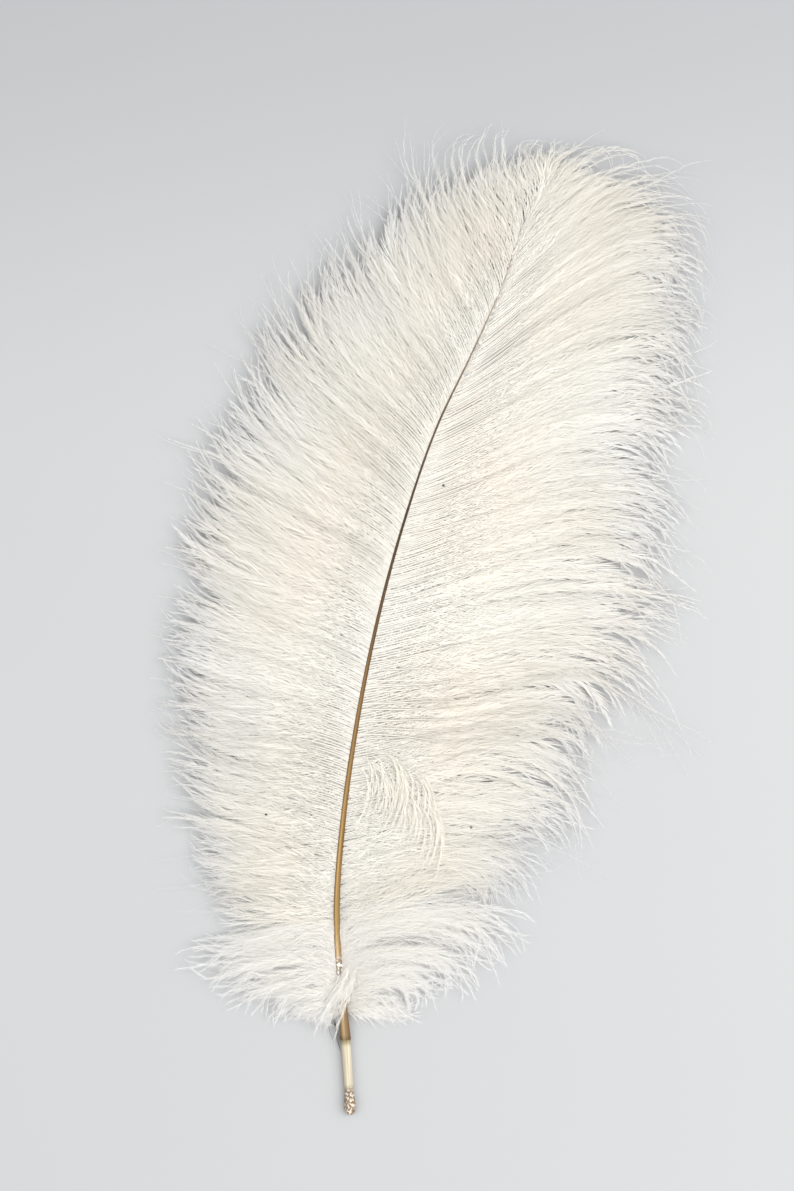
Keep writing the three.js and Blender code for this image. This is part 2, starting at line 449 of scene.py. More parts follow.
def bezierPaths(root, first, second, tip, points):
    # curves from root to tip that bend towards the two points between them
    v = np.linspace(0, 1, points)[None, :, None]
    return ((1 - v) ** 3 * root[:, None] + 3 * v * (1 - v) ** 2 * first[:, None]
            + 3 * v * v * (1 - v) * second[:, None] + v ** 3 * tip[:, None])


def plainPaths(table, side, places, turn, reach):
    # smooth barbs from the shaft to the outline, in plan, and the shaft's height where they leave
    table = np.array(table, float)
    rows = np.arange(len(table))
    where = np.clip(places, 0, 1) * (len(table) - 1)
    share = np.interp(where, rows, table[:, 0])
    centre, along, across = shaftAt(share)
    root = centre[:, :2] + side * across[:, :2] * (shaftHalfWidth(share) * barbLook["rootIn"])[:, None]
    tip = root + (smoothThrough(rows, table[:, 1:3] * mm, where) - root) * reach[:, None]
    span = np.linalg.norm(tip - root, axis=1)[:, None]
    leave = np.radians(tableAt(barbLook["leaveAngle"], places))[:, None]
    away = along[:, :2] * np.cos(leave) + side * across[:, :2] * np.sin(leave)
    straight = np.arctan2(tip[:, 1] - root[:, 1], tip[:, 0] - root[:, 0]) + turn
    arrive = np.stack([np.cos(straight), np.sin(straight)], axis=1)
    path = bezierPaths(root, root + away * span * barbLook["leaveShare"],
                       tip - arrive * span * barbLook["arriveShare"], tip, barbLook["points"])
    return path, centre[:, 2]


def sideWays(path):
    # the direction across each barb in plan, and the barbs' lengths
    heading = np.gradient(path, axis=1)
    pace = np.linalg.norm(heading, axis=2)
    heading = heading / (pace[..., None] + 1e-9)
    return np.stack([-heading[..., 1], heading[..., 0]], axis=2), pace.sum(axis=1)


def layBarbs(outline, layer, seed):
    # one layer of barbs on one side of the shaft, gathered into clumps and finer locks
    rng = np.random.default_rng(seed)
    side = outline["side"]
    shared = np.random.default_rng(layer["clumpSeed"] + side)  # one flow runs on from piece to piece
    low, high = layer["stretch"]
    count = int(layer["count"] * (high - low))
    v = np.linspace(0, 1, barbLook["points"])
    gap = (high - low) / count
    places = np.linspace(low, high, count, endpoint=False) + rng.uniform(0, layer["jitter"], count) * gap
    clumps = centresAlong(layer["clumpSpread"], shared)
    locks = centresAlong(layer["lockSpread"], shared)
    clumpNumbers = {key: shared.uniform(-1, 1, len(clumps)) for key in ("lift", "reach", "turn", "curl")}
    lockNumbers = {key: shared.uniform(-1, 1, len(locks)) for key in ("lift", "phase", "reach", "curl")}
    phase, swell, drift = (flowAlong(places, barbLook["flowSpread"], shared) for _ in range(3))
    ofLock = nearestOf(locks, places)
    ofClump = nearestOf(clumps, locks[ofLock])

    def turnAt(where):
        return np.radians(tableAt(outline["turns"], where))

    mess = tableAt(outline["mess"], places)
    uneven = clumpNumbers["reach"][ofClump] + lockNumbers["reach"][ofLock]
    uneven = uneven + rng.normal(0, barbLook["uneven"], count)
    reach = layer["reach"] * tableAt(layer["fringe"], places) + layer["ragged"] * uneven * np.sqrt(mess)
    ofItsClump, ofItsOwn = barbLook["straying"]
    turn = drift[:, 0] + ofItsClump * clumpNumbers["turn"][ofClump] + rng.normal(0, ofItsOwn, count)
    turn = layer["unruly"] * mess * turn
    path, height = plainPaths(outline["table"], side, places, turnAt(places) + turn, reach)
    lock, _ = plainPaths(outline["table"], side, locks[ofLock], turnAt(locks[ofLock]) + turn, reach)
    clump, _ = plainPaths(outline["table"], side, clumps[ofClump], turnAt(clumps[ofClump]) + turn, reach)
    gather = outline["gather"]
    least, most, late = barbLook["lockHold"]
    lockPull = (gather * layer["lockPull"] * rng.uniform(least, most, count))[:, None] * v ** late
    least, most, late = barbLook["clumpHold"]
    clumpPull = (gather * layer["clumpPull"] * rng.uniform(least, most, count))[:, None] * v ** late
    path = path + (lock - path) * lockPull[..., None] + (clump - lock) * clumpPull[..., None]

    # broad waves flow through the whole vane, and finer ones belong to a lock or a single barb
    across, span = sideWays(path)
    swells, late, often = barbLook["flow"]
    wave = (1 + swells * swell) * v ** late * np.sin(2 * np.pi * (often * v + 0.5 * phase))
    for key, start in (("lock", lockNumbers["phase"][ofLock]), ("barb", rng.uniform(0, 1, count))):
        size, late, often = barbLook["waves"][key]
        wave = wave + size * v ** late * np.sin(2 * np.pi * (often * v + start[:, None]))
    wave = wave * mess[:, None]
    ofItsClump, ofItsLock, ofItsOwn, late = barbLook["curling"]
    curl = ofItsClump * clumpNumbers["curl"][ofClump] + ofItsLock * lockNumbers["curl"][ofLock]
    curl = outline["tipCurl"] + layer["curlSpread"] * (curl + rng.normal(0, ofItsOwn, count))
    shift = layer["wave"] * mm * wave + (curl * span)[:, None] * v ** late
    path = path + across * shift[..., None]
    edge, give = (size * mm for size in barbLook["sideLimit"])
    over = np.maximum(np.abs(path[..., 0]) - edge, 0)
    path[..., 0] -= np.sign(path[..., 0]) * (over - give * np.tanh(over / give))

    # height: from the shaft, over a low arch, down to the surface
    rootZ = (height + tableAt(layer["rootLift"], places) * mm)[:, None]
    tipZ = layer["tipHeight"] * mm
    arch = layer["arch"] * mm * np.sin(np.pi * v ** barbLook["archPeak"])
    z = tipZ + (rootZ - tipZ) * (1 - v) ** layer["fall"] + arch
    hump = np.sin(np.pi * v) ** 2
    lift = layer["clumpLift"] * clumpNumbers["lift"][ofClump]
    lift = lift + layer["lockLift"] * lockNumbers["lift"][ofLock]
    z = z + lift[:, None] * mm * hump + rng.uniform(0, layer["tipSpread"], count)[:, None] * mm * v ** 3
    depth = rng.uniform(-0.5, 0.5, count) * layer["thick"] * mm
    soon, gentle = barbLook["layerStart"]
    z = z + depth[:, None] * np.clip(v * soon, 0, 1) ** gentle
    z = np.maximum(z, barbLook["lowest"] * mm)
    byPlace = {key: tableAt(layer[key], places)[:, None] for key in ("full", "firm", "loose")}
    paths = np.concatenate([path, z[..., None]], axis=2)
    return asGuides(paths, (places - low) / (high - low), byPlace, layer, rng)


def asGuides(paths, columns, byPlace, layer, rng):
    # what the tree needs to know at every point of the guide lines
    count, points = paths.shape[:2]
    v = np.broadcast_to(np.linspace(0, 1, points), (count, points))
    grow = np.maximum(tableAt(layer["grow"], v), byPlace["loose"] * (1 - v))
    size = byPlace["full"] * rng.uniform(0.85, 1.15, (count, 1))
    left, right = layer["mapColumns"]
    return {
        "path": paths,
        "strandColumn": np.broadcast_to((left + (right - left) * columns)[:, None], (count, points)),
        "strandPlace": v,
        "threadRadius": tableAt(layer["thread"], v) * byPlace["firm"] * mm,
        "barbuleLength": layer["barbule"] * mm * grow * size,
        "barbuleWidth": tableAt(layer["broad"], v) * mm * size * (1 - byPlace["loose"]),
        "barbuleGap": tableAt(layer["gap"], v) * mm,
        "barbuleOpening": np.radians(tableAt(layer["opening"], v)),
        "barbuleRoll": np.radians(tableAt(layer["roll"], v) + barbLook["looseRoll"] * byPlace["loose"]),
    }


def guideObject(layers):
    # a mesh of loose edges along every barb
    edges, start = [], 0
    for layer in layers:
        count, points = layer["strandPlace"].shape
        index = start + np.arange(count * points).reshape(count, points)
        edges.append(np.stack([index[:, :-1].ravel(), index[:, 1:].ravel()], axis=1))
        start += count * points
    coords = np.concatenate([layer["path"].reshape(-1, 3) for layer in layers])
    edges = np.concatenate(edges)
    mesh = bpy.data.meshes.new("guides")
    mesh.vertices.add(len(coords))
    mesh.edges.add(len(edges))
    mesh.vertices.foreach_set("co", coords.ravel())
    mesh.edges.foreach_set("vertices", edges.ravel())
    for key in (key for key in layers[0] if key != "path"):
        values = np.concatenate([layer[key].ravel() for layer in layers]).astype(np.float32)
        mesh.attributes.new(key, "FLOAT", "POINT").data.foreach_set("value", values)
    mesh.update()
    return addObject("guides", mesh)


def barbuleShape(look):
    # one barbule, a metre long, in the XZ plane: it leaves along +Z
    verts, across, outward = [], [], []
    deep, often = look["ripple"]
    for step, width in zip(look["steps"], look["widths"]):
        lean = deep * math.sin(often * step)
        verts += [(-width / 2, lean, step), (width / 2, lean, step)]
        across += [0, 1]
        outward += [step, step]
    verts.append((0, 0, 1))
    across.append(0.5)
    outward.append(1)
    mesh = bpy.data.meshes.new("barbuleShape")
    rows = range(0, len(verts) - 3, 2)
    faces = [(low, low + 1, low + 3, low + 2) for low in rows]
    mesh.from_pydata(verts, [], faces + [tuple(range(len(verts) - 3, len(verts)))])
    for key, value in (("across", across), ("outward", outward)):
        mesh.attributes.new(key, "FLOAT", "POINT").data.foreach_set("value", np.array(value, np.float32))
    return addObject("barbuleShape", mesh)


def buildBarbTree():
    # threads and barbules on guide lines, on a map that runs along the outline and out along the barbs
    tree, given, end = newGroup(
        "growBarbs", "GeometryNodeTree",
        [("Geometry", "NodeSocketGeometry", None), ("Barbule", "NodeSocketObject", None),
         ("Opening Spread", "NodeSocketFloat", 0.2), ("Curl", "NodeSocketFloat", 0.3),
         ("Smallest", "NodeSocketFloat", 0.55), ("Largest", "NodeSocketFloat", 1.2),
         ("Strand Width", "NodeSocketFloat", 0.004), ("Strand Reach", "NodeSocketFloat", 0.93),
         ("Barbule Reach", "NodeSocketFloat", 0.06), ("Floor Gap", "NodeSocketFloat", 0.00015),
         ("Seed", "NodeSocketInt", 0), ("Material", "NodeSocketMaterial", None)],
        [("Geometry", "NodeSocketGeometry")])

    def named(name, kind="FLOAT"):
        return addNode(tree, "GeometryNodeInputNamedAttribute", {"Name": name}, data_type=kind).outputs[0]

    def keepValue(geometry, name, value, kind="FLOAT", domain="POINT"):
        inputs = {0: geometry, "Name": name, "Value": value}
        made = addNode(tree, "GeometryNodeStoreNamedAttribute", inputs, data_type=kind, domain=domain)
        return made.outputs[0]

    def randomValue(low, high, offset):
        # every use has an offset of its own, so that no two go together
        seed = mathNode(tree, "ADD", given["Seed"], offset)
        made = addNode(tree, "FunctionNodeRandomValue", {2: low, 3: high, "Seed": seed}, data_type="FLOAT")
        return made.outputs[1]

    # the thread of each barb
    curves = addNode(tree, "GeometryNodeMeshToCurve", {0: given["Geometry"]}).outputs[0]
    curves = addNode(tree, "GeometryNodeSetCurveNormal", {0: curves}, mode="Z_UP").outputs[0]
    ring = addNode(tree, "GeometryNodeCurvePrimitiveCircle", {"Resolution": 3, "Radius": 1.0}).outputs[0]
    corner = tree.nodes.new("GeometryNodeInputIndex").outputs[0]
    ring = keepValue(ring, "across", mathNode(tree, "MULTIPLY", corner, 0.5))   # 0, a half and 1
    ring = addNode(tree, "GeometryNodeTransform", {   # a low ridge with its flat side down
        0: ring, "Rotation": (0, 0, math.radians(-90)), "Scale": barbLook["ridge"]}).outputs[0]
    threads = addNode(tree, "GeometryNodeCurveToMesh", {
        0: curves, 1: ring, "Scale": named("threadRadius"), "Fill Caps": True}).outputs[0]

    # barbules leave the threads on either side and lean forward along them
    stations = addNode(tree, "GeometryNodeCurveToPoints", {
        0: curves, "Length": named("barbuleGap")}, mode="LENGTH")
    forward = stations.outputs["Tangent"]
    sideWay = vectorNode(tree, "NORMALIZE", vectorNode(tree, "CROSS_PRODUCT", forward, (0, 0, 1)))
    upWay = vectorNode(tree, "CROSS_PRODUCT", sideWay, forward)
    leftOrRight = mathNode(tree, "SIGN", randomValue(-1, 1, 11))
    roll = mathNode(tree, "ADD", randomValue(-1, 1, 12), randomValue(-1, 1, 13))
    roll = mathNode(tree, "MULTIPLY", roll, named("barbuleRoll"))
    opening = mathNode(tree, "MULTIPLY_ADD", randomValue(-1, 1, 14), given["Opening Spread"], 1.0)
    opening = mathNode(tree, "MULTIPLY", opening, named("barbuleOpening"))
    outPart = mathNode(tree, "SINE", opening)
    sidePart = mathNode(tree, "MULTIPLY", mathNode(tree, "COSINE", roll), leftOrRight)
    sidePart = mathNode(tree, "MULTIPLY", outPart, sidePart)
    upPart = mathNode(tree, "MULTIPLY", outPart, mathNode(tree, "SINE", roll))
    heading = vectorNode(tree, "ADD", vectorNode(tree, "SCALE", sideWay, scale=sidePart),
                         vectorNode(tree, "SCALE", upWay, scale=upPart))
    onward = vectorNode(tree, "SCALE", forward, scale=mathNode(tree, "COSINE", opening))
    heading = vectorNode(tree, "ADD", heading, onward)
    turn = addNode(tree, "FunctionNodeAxesToRotation", {0: heading, 1: sideWay},
                   primary_axis="Z", secondary_axis="X").outputs[0]
    vary = randomValue(given["Smallest"], given["Largest"], 15)
    length = mathNode(tree, "MULTIPLY", named("barbuleLength"), vary)
    width = mathNode(tree, "MULTIPLY", named("barbuleWidth"), vary)
    bend = mathNode(tree, "MULTIPLY", length, given["Curl"])
    bend = mathNode(tree, "MULTIPLY", bend, randomValue(-0.6, 1.6, 16))   # a few curl the other way
    points = keepValue(stations.outputs["Points"], "bend", bend)
    points = keepValue(points, "bendWay", vectorNode(tree, "SUBTRACT", forward, heading), "FLOAT_VECTOR")
    shape = addNode(tree, "GeometryNodeObjectInfo", {"Object": given["Barbule"]}).outputs["Geometry"]
    barbules = addNode(tree, "GeometryNodeInstanceOnPoints", {
        "Points": points, "Instance": shape, "Rotation": turn,
        "Scale": combineNode(tree, width, length, length)}).outputs[0]
    barbules = addNode(tree, "GeometryNodeRealizeInstances", {0: barbules}).outputs[0]
    far = named("outward")
    push = mathNode(tree, "MULTIPLY", named("bend"), mathNode(tree, "MULTIPLY", far, far))
    push = vectorNode(tree, "SCALE", named("bendWay", "FLOAT_VECTOR"), scale=push)
    barbules = addNode(tree, "GeometryNodeSetPosition", {"Geometry": barbules, "Offset": push}).outputs[0]
    whole = addNode(tree, "GeometryNodeJoinGeometry")
    tree.links.new(barbules, whole.inputs[0])
    tree.links.new(threads, whole.inputs[0])

    # nothing reaches below the surface that the feather lies on
    place = tree.nodes.new("GeometryNodeInputPosition").outputs[0]
    spot = addNode(tree, "ShaderNodeSeparateXYZ", {0: place}).outputs
    above = combineNode(tree, spot[0], spot[1], mathNode(tree, "MAXIMUM", spot[2], given["Floor Gap"]))
    made = addNode(tree, "GeometryNodeSetPosition", {
        "Geometry": whole.outputs[0], "Position": above}).outputs[0]

    # the map runs along the outline one way and out along the barbs the other
    column = mathNode(tree, "MULTIPLY_ADD", named("across"), given["Strand Width"], named("strandColumn"))
    row = mathNode(tree, "MULTIPLY", far, given["Barbule Reach"])
    row = mathNode(tree, "MULTIPLY_ADD", named("strandPlace"), given["Strand Reach"], row)
    for mapName in ("strand", "OFBake"):
        made = keepValue(made, mapName, combineNode(tree, column, row, 0), "FLOAT2", "CORNER")
    made = addNode(tree, "GeometryNodeRealizeInstances", {0: made}).outputs[0]
    made = addNode(tree, "GeometryNodeSetMaterial", {0: made, "Material": given["Material"]}).outputs[0]
    tree.links.new(made, end[0])
    return tree


def growPiece(name, layers, tree, values):
    # runs the tree on the guide lines and keeps what it makes as a plain mesh
    guides = guideObject(layers)
    modifier = guides.modifiers.new("grow", "NODES")
    modifier.node_group = tree
    sockets = {item.name: item.identifier for item in tree.interface.items_tree if item.in_out == "INPUT"}
    for key, value in values.items():
        modifier[sockets[key]] = value
    bpy.context.view_layer.update()
    mesh = bpy.data.meshes.new_from_object(guides.evaluated_get(bpy.context.evaluated_depsgraph_get()))
    guides.modifiers.remove(modifier)
    bpy.data.objects.remove(guides)
    working = list(layers[0]) + ["across", "outward", "bend", "bendWay"]
    for spare in [item.name for item in mesh.attributes if item.name in working]:
        mesh.attributes.remove(mesh.attributes[spare])
    mesh.name = name
    mesh.calc_loop_triangles()
    print("grew", name, len(mesh.loop_triangles), "triangles")
    return addObject(name, mesh)


def fibreFinish(name, look):
    # barbs and down: colour runs out along each barb, tone changes from barb to barb, light comes through
    material, tree = newMaterial(name)
    across, along, depth = look["streaks"]
    streak, place = streaksOf(tree, across, along)
    colour = rampNode(tree, place, look["stops"])
    tone = mathNode(tree, "MULTIPLY_ADD", streak, depth, 1 - depth)
    colour = mixColours(tree, "MULTIPLY", 1.0, colour, tone)
    warm = mathNode(tree, "MULTIPLY", patchesOf(tree, look["patchSize"], 1.0), look["patchDepth"])
    colour = mixColours(tree, "MULTIPLY", warm, colour, (*look["patchColour"], 1))
    # close to the shaft the barbules interlock in a fine tweed, painted here as a darker mottle of painted
    # shade between the crossing barbules
    interlockShade = patchesOf(tree, look["interlockShadeSize"], 2.0)
    interlockShade = mathNode(tree, "MULTIPLY", interlockShade, maskNode(tree, place, *look["interlockShadeBand"]))
    interlockShade = mathNode(tree, "MULTIPLY", interlockShade, look["interlockShadeDepth"])
    colour = mixColours(tree, "MULTIPLY", interlockShade, colour, (*look["interlockShadeColour"], 1))
    body = addNode(tree, "ShaderNodeBsdfPrincipled", {"Base Color": colour, "Roughness": look["roughness"]})
    glow = addNode(tree, "ShaderNodeBsdfTranslucent", {"Color": colour})
    both = addNode(tree, "ShaderNodeMixShader", {0: look["through"], 1: body.outputs[0], 2: glow.outputs[0]})
    addNode(tree, "ShaderNodeOutputMaterial", {0: both.outputs[0]})
    return material


silkLook = {
    "stops": [   # place out along a barb, colour
        (0.0, (0.92, 0.898, 0.848)), (0.15, (0.918, 0.896, 0.842)), (0.4, (0.888, 0.866, 0.812)),
        (0.68, (0.845, 0.831, 0.792)), (0.85, (0.79, 0.785, 0.77)), (1.0, (0.745, 0.747, 0.752))],
    "streaks": (420.0, 4.0, 0.09),   # streaks across the map, along it, and their depth
    "patchSize": 0.07, "patchDepth": 0.8, "patchColour": (1.0, 0.974, 0.935),
    # the fine tweed near the shaft, on this line and the next, is painted shade between interlocking
    # barbules: its mottle size, how dark it gets, its colour and where it lies
    "interlockShadeSize": 0.0016, "interlockShadeDepth": 0.22, "interlockShadeColour": (0.86, 0.83, 0.78),
    "interlockShadeBand": (-0.2, 0.34, 0.1),  # from and to along a barb, and how softly it ends
    "roughness": 0.5,
    "through": 0.4,      # share of the light that comes through
}
fluffLook = dict(   # paler and duller, with less painted tweed shade
    silkLook, patchDepth=0.3, interlockShadeDepth=0.1, roughness=0.65,
    stops=[(0.0, (0.92, 0.90, 0.862)), (0.5, (0.90, 0.885, 0.85)), (1.0, (0.85, 0.845, 0.835))])
creamLook = dict(   # warm out to the tips, for the curled locks, without painted tweed shade
    silkLook, patchDepth=0.3, interlockShadeDepth=0.0,
    stops=[(0.0, (0.925, 0.90, 0.83)), (0.6, (0.91, 0.885, 0.81)), (1.0, (0.89, 0.865, 0.80))])
driedLook = dict(
    silkLook, patchDepth=0.3, roughness=0.6, through=0.2,
    stops=[(0.0, (0.30, 0.25, 0.19)), (0.4, (0.10, 0.085, 0.065)), (1.0, (0.07, 0.06, 0.05))])
silk = fibreFinish("silkBarb", silkLook)
fluff = fibreFinish("downFluff", fluffLook)
creamy = fibreFinish("creamLock", creamLook)
dried = fibreFinish("driedBarb", driedLook)
barbTree = buildBarbTree()
barbule = barbuleShape(barbuleLook)
print("finishes and barb tree ready")

# The two vanes. Places run from 0 at the foot of a vane to 1 at its tip, and shares out along a barb.
topLayer = {  # the combed barbs that show
    "count": 320, "jitter": 0.25,    # barbs on a whole side, and how unevenly they stand
    "clumpSeed": 7, "clumpSpread": 0.024, "lockSpread": 0.0095,    # clumps hold locks, locks hold barbs
    "clumpPull": 0.4, "lockPull": 1.0,
    "reach": 1.0, "ragged": 0.045,   # length against the outline, and how much it varies
    "fringe": [(0, 1), (0.72, 1), (0.9, 0.97), (1, 1.0)],   # that length by place
    "unruly": 0.14, "curlSpread": 0.09,    # how far tips turn, in radians, and curl, share of the length
    "wave": 2.3, "arch": 3.8, "tipHeight": 2.2, "tipSpread": 5, "thick": 0.6,    # mm
    "rootLift": [(0, 0.7), (0.4, 0.5), (0.7, 0), (1, 0)],   # mm above the middle of the shaft, by place
    "fall": 1.5,         # how soon the height falls away from the shaft
    "clumpLift": 0.4, "lockLift": 0.3,     # mm
    "thread": [(0, 0.66), (0.2, 0.52), (0.4, 0.2), (1, 0.045)],   # half width of a thread, mm, by share
    "barbule": 12.0,     # length of the longest barbules, mm
    "grow": [            # their length against that, by share
        (0, 0.17), (0.15, 0.2), (0.3, 0.55), (0.6, 1), (0.85, 0.5), (1, 0.16)],
    "broad": [(0, 0.42), (0.2, 0.42), (0.4, 0.33), (0.75, 0.28), (1, 0.12)],    # their width, mm
    "gap": [(0, 0.43), (0.2, 0.48), (0.4, 0.66), (1, 0.66)],      # from one to the next, mm
    "opening": [(0, 44), (0.15, 36), (0.3, 19), (0.4, 15), (0.75, 11), (1, 7)],    # degrees off the barb
    "roll": [(0, 7), (0.2, 10), (0.4, 26), (1, 26)],        # degrees out of the vane's surface
    "full": [(0, 0.6), (0.05, 1), (0.8, 1), (0.92, 0.8), (1, 0.6)],   # size of barbules, by place
    "firm": [(0, 0.15), (0.1, 0.55), (0.25, 1), (0.6, 1), (0.85, 0.7), (1, 0.5)],    # of threads
    "loose": [(0, 0.6), (0.1, 0.35), (0.25, 0), (1, 0)],    # how downy the roots of barbs are
    "mapColumns": (0, 0.46),
}
underLayer = dict(  # fuller barbs below them, which keep the surface from showing through
    topLayer, count=280, jitter=1.0, clumpSeed=47, clumpPull=0.08, lockPull=0.15, reach=0.93, unruly=0.16,
    rootLift=[(0, 0.5), (0.4, 0.35), (0.7, -0.35), (1, -0.5)], arch=3.4, tipHeight=1.8, tipSpread=4,
    fall=1.6, thick=1.6, barbule=13.0, broad=[(0, 1.0), (0.3, 0.85), (0.55, 0.68), (0.8, 0.62), (1, 0.25)],
    gap=[(0, 0.8), (0.3, 0.9), (1, 0.95)], grow=[(0, 0.5), (0.15, 0.7), (0.4, 1), (0.75, 1), (1, 0.3)],
    roll=[(0, 7), (0.3, 12), (1, 24)], fringe=[(0, 1), (0.8, 1), (0.92, 0.92), (1, 0.85)],
    full=[(0, 1), (0.8, 1), (1, 0.8)], opening=[(0, 18), (0.4, 20), (0.75, 15), (1, 9)],
    mapColumns=(0.465, 0.9))
strayLayer = dict(  # single wisps that reach past the rest
    topLayer, count=85, jitter=1.0, clumpSeed=87, clumpPull=0.2, lockPull=0.5, reach=1.09, ragged=0.04,
    fringe=[(0, 1), (0.7, 1), (0.85, 1.08), (1, 1.3)], unruly=0.4, curlSpread=0.14, wave=3.4, arch=4.0,
    tipSpread=9, thick=1.6, barbule=8.0, broad=[(0, 0.22), (0.7, 0.2), (1, 0.1)], gap=[(0, 0.9), (1, 0.8)],
    opening=[(0, 14), (0.4, 14), (0.75, 12), (1, 9)], full=[(0, 1), (1, 0.7)], mapColumns=(0.905, 0.95))
fluffyStrays = dict(  # the strays near the foot are loose and branch widely
    strayLayer, count=150, barbule=7.0, broad=[(0, 0.15), (1, 0.09)], opening=[(0, 30), (1, 24)],
    roll=[(0, 50), (1, 50)], wave=4.6, curlSpread=0.2, unruly=0.55)
vaneOutlines = {  # turns: how far tips bend off the straight line, degrees; mess: how uneven; both by place
    "Left": {"side": -1, "node": "vane_left", "table": featherLayout["vaneLeft"],
             "tipCurl": 0.0, "gather": 0.52,   # gather: how much clumps and locks draw together
             "turns": [(0, 8), (0.15, -4), (0.5, -14), (0.8, -26), (1, -55)],
             "mess": [(0, 1.3), (0.3, 1)]},
    "Right": {"side": 1, "node": "vane_right", "table": featherLayout["vaneRight"],
              "tipCurl": -0.085, "gather": 0.9,
              "turns": [(0, -50), (0.15, -42), (0.3, -36), (0.6, -42), (0.8, -54), (1, -60)],
              "mess": [(0, 2.6), (0.25, 2), (0.45, 1.1), (1, 1)]},
}
barbValues = {"Barbule": barbule, "Opening Spread": 0.45, "Curl": 0.25, "Material": silk}
vaneStretches = {   # the places that each piece covers, and the strays on it
    "Lower": (0, 0.3, fluffyStrays), "Middle": (0.3, 0.62, strayLayer),
    "Upper": (0.62, 1, dict(strayLayer, count=190))}   # more wisps stand out round the crown

vanePieces = []
for sideName, outline in vaneOutlines.items():
    for number, (partName, (low, high, strays)) in enumerate(vaneStretches.items()):
        seed = 100 * (outline["side"] + 2) + 10 * number
        layers = [layBarbs(outline, dict(layer, stretch=(low, high)), seed + place)
                  for place, layer in enumerate((topLayer, underLayer, strays))]
        piece = growPiece("vane" + sideName + partName, layers, barbTree, dict(barbValues, Seed=seed))
        keepPiece(piece, outline["node"])
        vanePieces.append(piece)
print("vanes grown,", len(vanePieces), "pieces")

# Loose down on both sides of the shaft's foot.
downLayer = dict(
    topLayer, count=150, jitter=1.0, clumpSeed=131, clumpSpread=0.09, lockSpread=0.02, clumpPull=0.45,
    lockPull=0.6, reach=0.98, ragged=0.13, unruly=0.45, curlSpread=0.1, wave=3.2, fringe=[(0, 1), (1, 1)],
    rootLift=[(0, -0.5), (1, 0.7)], arch=2.6, tipHeight=2.0, tipSpread=5, fall=1.3, clumpLift=1.2, thick=4.0,
    thread=[(0, 0.13), (1, 0.04)], barbule=9.0, broad=[(0, 0.16), (0.7, 0.13), (1, 0.08)],
    gap=[(0, 0.5), (1, 0.5)], full=[(0, 1), (1, 1)], firm=[(0, 1), (1, 1)], loose=[(0, 0), (1, 0)],
    grow=[(0, 0.6), (0.2, 0.9), (0.6, 1), (1, 0.35)], opening=[(0, 34), (0.4, 24), (1, 14)],
    mapColumns=(0, 0.97), stretch=(0, 1))
downOutlines = {
    "Left": {"side": -1, "node": "down_left", "table": featherLayout["downLeft"],
             "tipCurl": 0.05, "gather": 1, "turns": [(0, 30), (1, 8)],
             "mess": [(0, 1), (1, 1)], "roll": [(0, 45), (1, 40)]},
    "Right": {"side": 1, "node": "down_right", "table": featherLayout["downRight"],
              "tipCurl": -0.08, "gather": 0.8, "turns": [(0, -20), (1, -42)],
              "mess": [(0, 1.3), (1, 1.3)], "roll": [(0, 55), (1, 50)]},
}
for sideName, outline in downOutlines.items():
    seed = 500 + 10 * outline["side"]
    layer = dict(downLayer, roll=outline["roll"])
    piece = growPiece("down" + sideName, [layBarbs(outline, layer, seed)], barbTree,
                      dict(barbValues, Material=fluff, Curl=0.5, Seed=seed))
    keepPiece(piece, outline["node"])


def looseLocks(curves, look, seed):
    # small bundles of barbs along curves of four points each, x, y and z in mm
    rng = np.random.default_rng(seed)
    bundle = look["bundle"]
    spine = np.repeat(np.array(curves, float) * mm, bundle, axis=0)
    fan = rng.normal(0, 1, (len(spine), 1, 3)) * np.array([1, 1, 0.5])
    spine = spine + fan * np.array(look["fan"])[None, :, None] * mm
    paths = bezierPaths(spine[:, 0], spine[:, 1], spine[:, 2], spine[:, 3], barbLook["points"])
    paths[..., 2] = np.maximum(paths[..., 2], barbLook["lowest"] * mm)
    columns = (np.arange(len(spine)) + 0.5) / len(spine)
    return asGuides(paths, columns, {"full": 1, "firm": 1, "loose": 0}, look, rng)


# Curled locks over the right vane, a wisp of down across the quill, and dried barbs beside it.
# fan: how far the barbs of a bundle stand apart at its four points, mm
curlLook = dict(
    topLayer, bundle=10, fan=(1.6, 2.2, 2.6, 3.6), thread=[(0, 0.05), (0.4, 0.09), (1, 0.04)],
    barbule=6.0, broad=[(0, 0.16), (0.5, 0.2), (1, 0.1)], gap=[(0, 0.6), (1, 0.6)],
    grow=[(0, 0.3), (0.3, 0.9), (0.7, 1), (1, 0.4)], opening=[(0, 12), (1, 8)],
    roll=[(0, 20), (1, 20)], mapColumns=(0, 0.97))
curlPlaces = {
    "from": (-34, -61), "to": (-7, -76), "count": 7, "high": 13.9,   # where the locks start, mm
    "aside": (-2.5, 2.5), "along": (-12, 5), "sizes": (0.6, 1.25),   # how they vary
    "fall": 1.2,         # how much lower the last lock lies than the first, mm
    "shape": [(0, 0, -2.2), (9, 2, 0), (16, -14, 0), (6, -34, -2)],  # a lock's four points, mm
}
curlRandom = np.random.default_rng(20)
curlCurves = []
for share in np.linspace(0, 1, curlPlaces["count"]):
    x, y = np.array(curlPlaces["from"]) * (1 - share) + np.array(curlPlaces["to"]) * share
    x += curlRandom.uniform(*curlPlaces["aside"])
    y += curlRandom.uniform(*curlPlaces["along"])
    size = curlRandom.uniform(*curlPlaces["sizes"])
    high = curlPlaces["high"] - curlPlaces["fall"] * share
    curlCurves.append([(x + right * size, y + ahead * size, high + up)
                       for right, ahead, up in curlPlaces["shape"]])
